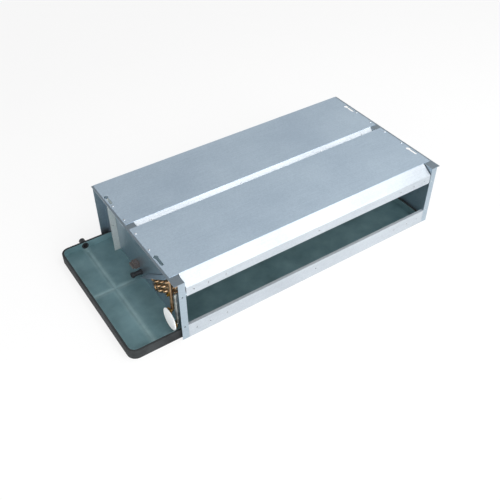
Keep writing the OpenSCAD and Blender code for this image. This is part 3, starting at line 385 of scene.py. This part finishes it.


# Drain pan: pressed steel with a grey-green powder coating, set in its foam. Its floor falls to two
# creases; clouded water stains lie all over it. Along each crease runs a paler line, a painted
# highlight where the crease catches the light, broken up in patches like dried scale.
pan_coat, tree, shader, place = blank("grey-green pan coating")
marks = add(tree, "ShaderNodeTexNoise", [(place, "Vector")],
            Scale=every(111), Detail=6.0, Roughness=0.62)
stains = add(tree, "ShaderNodeValToRGB", [(marks.outputs["Fac"], "Fac")],
             stops=((0.30, "#56757A"), (0.72, "#78989F")))
spot = add(tree, "ShaderNodeSeparateXYZ", [(place, "Vector")])
spigot_low, spigot_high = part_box("drain_spigot")
long_crease, cross_crease = (spigot_low[0] + spigot_high[0]) / 2, 0.021
cross_end, cross_fade = -0.44, 0.04
# Painted highlight: a pale band along each crease, full within 1 mm of it and gone at 17 mm.
line_core, line_edge = 0.001, 0.017
crease_highlight_lines = []
for axis, centre in (("X", long_crease), ("Y", cross_crease)):
    offset = add(tree, "ShaderNodeMath", [(spot.outputs[axis], 0)], operation="SUBTRACT")
    offset.inputs[1].default_value = centre
    aside = add(tree, "ShaderNodeMath", [(offset.outputs["Value"], 0)], operation="ABSOLUTE")
    crease_highlight_lines.append(add(tree, "ShaderNodeMapRange", [(aside.outputs["Value"], "Value")],
                           From_Min=line_core, From_Max=line_edge, To_Min=1.0, To_Max=0.0))
outside = add(tree, "ShaderNodeMapRange", [(spot.outputs["X"], "Value")],
              From_Min=cross_end - cross_fade, From_Max=cross_end, To_Min=1.0, To_Max=0.0)
cross_line = add(tree, "ShaderNodeMath", [
    (crease_highlight_lines[1].outputs["Result"], 0), (outside.outputs["Result"], 1)], operation="MULTIPLY")
both_lines = add(tree, "ShaderNodeMath", [
    (crease_highlight_lines[0].outputs["Result"], 0), (cross_line.outputs["Value"], 1)], operation="MAXIMUM")
broken = add(tree, "ShaderNodeTexNoise", [(place, "Vector")], Scale=every(26.3), Detail=4.0)
crease_highlight_mask = add(tree, "ShaderNodeMath", [(both_lines.outputs["Value"], 0), (broken.outputs["Fac"], 1)],
                 operation="MULTIPLY")
# The crease lines are mixed in as painted highlight, pale #96B0B3 over the stains.
add(tree, "ShaderNodeMix", [(crease_highlight_mask.outputs["Value"], "Factor"), (stains.outputs["Color"], 6)],
    [(2, shader.inputs["Base Color"])], data_type="RGBA").inputs[7].default_value = linear("#96B0B3")
add(tree, "ShaderNodeMapRange", [(marks.outputs["Fac"], "Value")],
    [("Result", shader.inputs["Roughness"])], To_Min=0.52, To_Max=0.34)
shader.inputs["IOR"].default_value = 1.5
paint(pan_coat, "drain_pan")


# Black moulded parts: drain spigot and its nut, cable gland and its nut, filter pull. Glass filled
# polyamide with a moulded grain, about 0.2 mm in the real parts and drawn at 1.1 mm so that it
# shows. The rubber rings of the motor are as black and as matt.
black_nylon, tree, shader, place = blank("black polyamide")
grain = add(tree, "ShaderNodeTexNoise", [(place, "Vector")], Scale=every(1.11), Detail=2.0)
add(tree, "ShaderNodeValToRGB", [(grain.outputs["Fac"], "Fac")],
    [("Color", shader.inputs["Base Color"])], ((0.35, "#1D1F21"), (0.65, "#303336")))
add(tree, "ShaderNodeBump", [(grain.outputs["Fac"], "Height")],
    [("Normal", shader.inputs["Normal"])], Distance=0.0002)
shader.inputs["Roughness"].default_value = 0.5
paint(black_nylon, "drain_spigot", "spigot_nut", "cable_gland", "gland_nut", "filter_pull",
      "motor_rubber_rings")


# Terminal block: a row of brass terminals in a grey-brown polyamide body, clipped outside the left
# side plate, over the cable gland. Its moulded grain is finer than the 1.4 mm it is drawn at.
block_grey, tree, shader, place = blank("grey polyamide")
grain = add(tree, "ShaderNodeTexNoise", [(place, "Vector")], Scale=every(1.43), Detail=2.0)
add(tree, "ShaderNodeValToRGB", [(grain.outputs["Fac"], "Fac")],
    [("Color", shader.inputs["Base Color"])], ((0.35, "#57514F"), (0.65, "#736B68")))
shader.inputs["Roughness"].default_value = 0.55
paint(block_grey, "terminal_block")


# Blower housings and wheels: thin galvanised sheet. Each housing is a rolled scroll tabbed between
# two cheeks with rolled inlets, and each wheel's blades are stamped and riveted to a disc.
blower_sheet = galvanised("galvanised blower sheet", "#98A1A8", "#BAC2C8", metallic=0.7, roughness=0.38)
paint(blower_sheet, "fan_housing_left", "fan_housing_right", "fan_wheel_left", "fan_wheel_right")


# Motor: a dark grey enamelled steel shell with a ground steel shaft through it, held down on rubber
# rings by zinc plated straps. The enamel has the orange peel of a dipped coat, 3 mm from bump to bump.
enamel, tree, shader, place = blank("dark grey motor enamel")
orange_peel = add(tree, "ShaderNodeTexNoise", [(place, "Vector")], Scale=every(3.33), Detail=2.0)
add(tree, "ShaderNodeValToRGB", [(orange_peel.outputs["Fac"], "Fac")],
    [("Color", shader.inputs["Base Color"])], ((0.35, "#4B5357"), (0.65, "#5F686D")))
add(tree, "ShaderNodeBump", [(orange_peel.outputs["Fac"], "Height")],
    [("Normal", shader.inputs["Normal"])], Distance=0.0003)
shader.inputs["Roughness"].default_value = 0.4
paint(enamel, "motor_housing")


# Shaft and bleed screw: bright steel, ground on the shaft and turned on the screw. Handling has left
# it slightly uneven in tone, in spots of about 4 mm.
ground_steel, tree, shader, place = blank("ground steel")
handling = add(tree, "ShaderNodeTexNoise", [(place, "Vector")], Scale=every(4), Detail=3.0)
add(tree, "ShaderNodeValToRGB", [(handling.outputs["Fac"], "Fac")],
    [("Color", shader.inputs["Base Color"])], ((0.35, "#7F878C"), (0.65, "#A9B0B5")))
shader.inputs["Roughness"].default_value = 0.28
shader.inputs["Metallic"].default_value = 1.0
paint(ground_steel, "motor_shaft", "vent_screw")


# Straps and screws: stamped steel straps and cross-headed sheet metal screws, both bright zinc plated,
# which leaves them slightly clouded.
zinc, tree, shader, place = blank("bright zinc plate")
clouding = add(tree, "ShaderNodeTexNoise", [(place, "Vector")], Scale=every(5.56), Detail=3.0)
add(tree, "ShaderNodeValToRGB", [(clouding.outputs["Fac"], "Fac")],
    [("Color", shader.inputs["Base Color"])], ((0.35, "#B9C0C6"), (0.65, "#E4E8EC")))
shader.inputs["Roughness"].default_value = 0.3
shader.inputs["Metallic"].default_value = 0.9
paint(zinc, "motor_straps", "top_panel_screws", "groove_screws")


# Run capacitor: a plain off-white moulded case, potted, and held by its two ears to the deck above
# the motor. Its gloss is low, as it comes from the mould.
case_white, tree, shader, place = blank("moulded capacitor case")
clouding = add(tree, "ShaderNodeTexNoise", [(place, "Vector")], Scale=every(12.5), Detail=2.0)
add(tree, "ShaderNodeValToRGB", [(clouding.outputs["Fac"], "Fac")],
    [("Color", shader.inputs["Base Color"])], ((0.35, "#CFCFC8"), (0.65, "#E2E2DC")))
shader.inputs["Roughness"].default_value = 0.42
paint(case_white, "run_capacitor")


# Filter frame: drawn aluminium bars, mitred and riveted into a frame with three cross bars. It slides
# in its rails from the side. Lines from the die run along the long bars; the real ones are finer
# than the 0.7 mm they are drawn at.
bar_metal, tree, shader, place = blank("extruded aluminium")
stretched = add(tree, "ShaderNodeMapping", [(place, "Vector")],
                Scale=(every(100), every(0.667), every(0.667)))
drawn = add(tree, "ShaderNodeTexNoise", [(stretched.outputs["Vector"], "Vector")],
            Scale=1.0, Detail=3.0)
add(tree, "ShaderNodeValToRGB", [(drawn.outputs["Fac"], "Fac")],
    [("Color", shader.inputs["Base Color"])], ((0.35, "#A9AEB2"), (0.65, "#CDD1D4")))
shader.inputs["Roughness"].default_value = 0.36
shader.inputs["Metallic"].default_value = 0.95
paint(bar_metal, "filter_frame")


# Filter net: black nylon monofilament, woven and clamped in the frame's bars. The real threads are
# 1.2 mm apart; they are drawn 2.5 mm apart so that the weave still shows in a picture.
nylon, tree, shader, place = blank("woven nylon")
weave = add(tree, "ShaderNodeTexNoise", [(place, "Vector")], Scale=every(1.67), Detail=2.0)
add(tree, "ShaderNodeValToRGB", [(weave.outputs["Fac"], "Fac")],
    [("Color", shader.inputs["Base Color"])], ((0.35, "#2C3134"), (0.65, "#4A5054")))
shader.inputs["Roughness"].default_value = 0.6
paint(nylon, "filter_mesh")

thread_r, thread_pitch = 0.00032, 0.0025
mesh_low, mesh_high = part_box("filter_mesh")
mesh_w, mesh_h = mesh_high[0] - mesh_low[0], mesh_high[2] - mesh_low[2]
mesh_y = (mesh_low[1] + mesh_high[1]) / 2
bpy.ops.mesh.primitive_cylinder_add(
    vertices=6, radius=thread_r, depth=mesh_h,
    location=(mesh_low[0] + thread_pitch / 2, mesh_y - thread_r, (mesh_low[2] + mesh_high[2]) / 2))
warp = bpy.context.object
bpy.ops.object.transform_apply(location=True, rotation=True)
repeat(warp, int(mesh_w / thread_pitch), (thread_pitch, 0, 0))
bpy.ops.mesh.primitive_cylinder_add(
    vertices=6, radius=thread_r, depth=mesh_w, rotation=(0, math.pi / 2, 0),
    location=((mesh_low[0] + mesh_high[0]) / 2, mesh_y + thread_r, mesh_low[2] + thread_pitch / 2))
weft = bpy.context.object
bpy.ops.object.transform_apply(location=True, rotation=True)
repeat(weft, int(mesh_h / thread_pitch), (0, 0, thread_pitch))
warp.select_set(True)
bpy.context.view_layer.objects.active = warp
bpy.ops.object.join()
warp.name = "filter_weave"
finish(warp, nylon, "filter", smooth=60)
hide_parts("filter_mesh")


# Studio: a pale floor that keeps the unit's shadow and reads as white further out, a world that is
# brighter round the horizon, as a white cove is, three soft lamps, and the camera of the photograph.
floor_size, floor_gap = 60, 0.0005
bpy.ops.mesh.primitive_plane_add(size=floor_size, location=(0, 0, cad_box[0][2] - floor_gap))
floor = bpy.context.object
floor.name = "floor"
white_floor, tree, shader, place = blank("white floor")
shader.inputs["Base Color"].default_value = linear("#F4F4F4")
shader.inputs["Roughness"].default_value = 0.9
paths = add(tree, "ShaderNodeLightPath")
seen = add(tree, "ShaderNodeMath", [
    (paths.outputs["Is Camera Ray"], 0), (paths.outputs["Is Glossy Ray"], 1)], operation="MAXIMUM")
glow = add(tree, "ShaderNodeEmission", Color=(1, 1, 1, 1), Strength=1.0)
blend = add(tree, "ShaderNodeMixShader")
reach = add(tree, "ShaderNodeVectorMath", [(place, "Vector")], operation="LENGTH")
fade = add(tree, "ShaderNodeMapRange", [(reach.outputs["Value"], "Value")],
           From_Min=1.5, From_Max=6.0, To_Min=0.8, To_Max=1.0)
amount = add(tree, "ShaderNodeMath", [
    (seen.outputs[0], 0), (fade.outputs["Result"], 1)], operation="MULTIPLY")
tree.links.new(amount.outputs[0], blend.inputs[0])
tree.links.new(shader.outputs[0], blend.inputs[1])
tree.links.new(glow.outputs[0], blend.inputs[2])
tree.links.new(blend.outputs[0], tree.nodes["Material Output"].inputs["Surface"])
floor.data.materials.append(white_floor)

world = bpy.data.worlds.new("studio")
bpy.context.scene.world = world
world.use_nodes = True
tree = world.node_tree
background = tree.nodes["Background"]
background.inputs["Color"].default_value = (1, 1, 1, 1)
paths = add(tree, "ShaderNodeLightPath")
sky = add(tree, "ShaderNodeTexCoord").outputs["Generated"]
height = add(tree, "ShaderNodeSeparateXYZ", [(sky, "Vector")])
cove = add(tree, "ShaderNodeMapRange", [(height.outputs["Z"], "Value")],
           From_Min=0.1, From_Max=0.6, To_Min=0.95, To_Max=0.2)
add(tree, "ShaderNodeMath", [(cove.outputs["Result"], 0), (paths.outputs["Is Camera Ray"], 1)],
    [("Value", background.inputs["Strength"])], operation="MAXIMUM")


def lamp(name, place, target, size, power):
    """A soft square lamp that looks at a point."""
    bpy.ops.object.light_add(type="AREA", location=place)
    light = bpy.context.object
    light.name = name
    light.data.shape = "SQUARE"
    light.data.size = size
    light.data.energy = power
    aim = [t - p for t, p in zip(target, place)]
    flat = math.hypot(aim[0], aim[1])
    light.rotation_euler = (math.atan2(flat, -aim[2]), 0, math.atan2(-aim[0], aim[1]))


lamp("front softbox", (0.2, -3.6, 1.7), (0, 0, 0.1), size=3.2, power=98)
lamp("overhead softbox", (1.1, -0.8, 2.8), (0, 0, 0.2), size=2.6, power=71)
lamp("left softbox", (-2.9, -0.9, 1.25), (-0.3, 0, 0.1), size=2.0, power=36)

azimuth, elevation, distance = math.radians(-33.922), math.radians(42.640), 2.2209
focal_px, picture_px, sensor_w = 679.4, 500, 36
aim = (-0.1099, -0.1720, 0.120)
back = (math.sin(azimuth) * math.cos(elevation), -math.cos(azimuth) * math.cos(elevation),
        math.sin(elevation))
bpy.ops.object.camera_add(location=[a + b * distance for a, b in zip(aim, back)],
                          rotation=(math.pi / 2 - elevation, 0, azimuth))
camera = bpy.context.object
camera.name = "camera"
camera.data.lens = focal_px / picture_px * sensor_w
camera.data.sensor_width = sensor_w
bpy.context.scene.camera = camera
bpy.context.scene.view_settings.view_transform = "Standard"
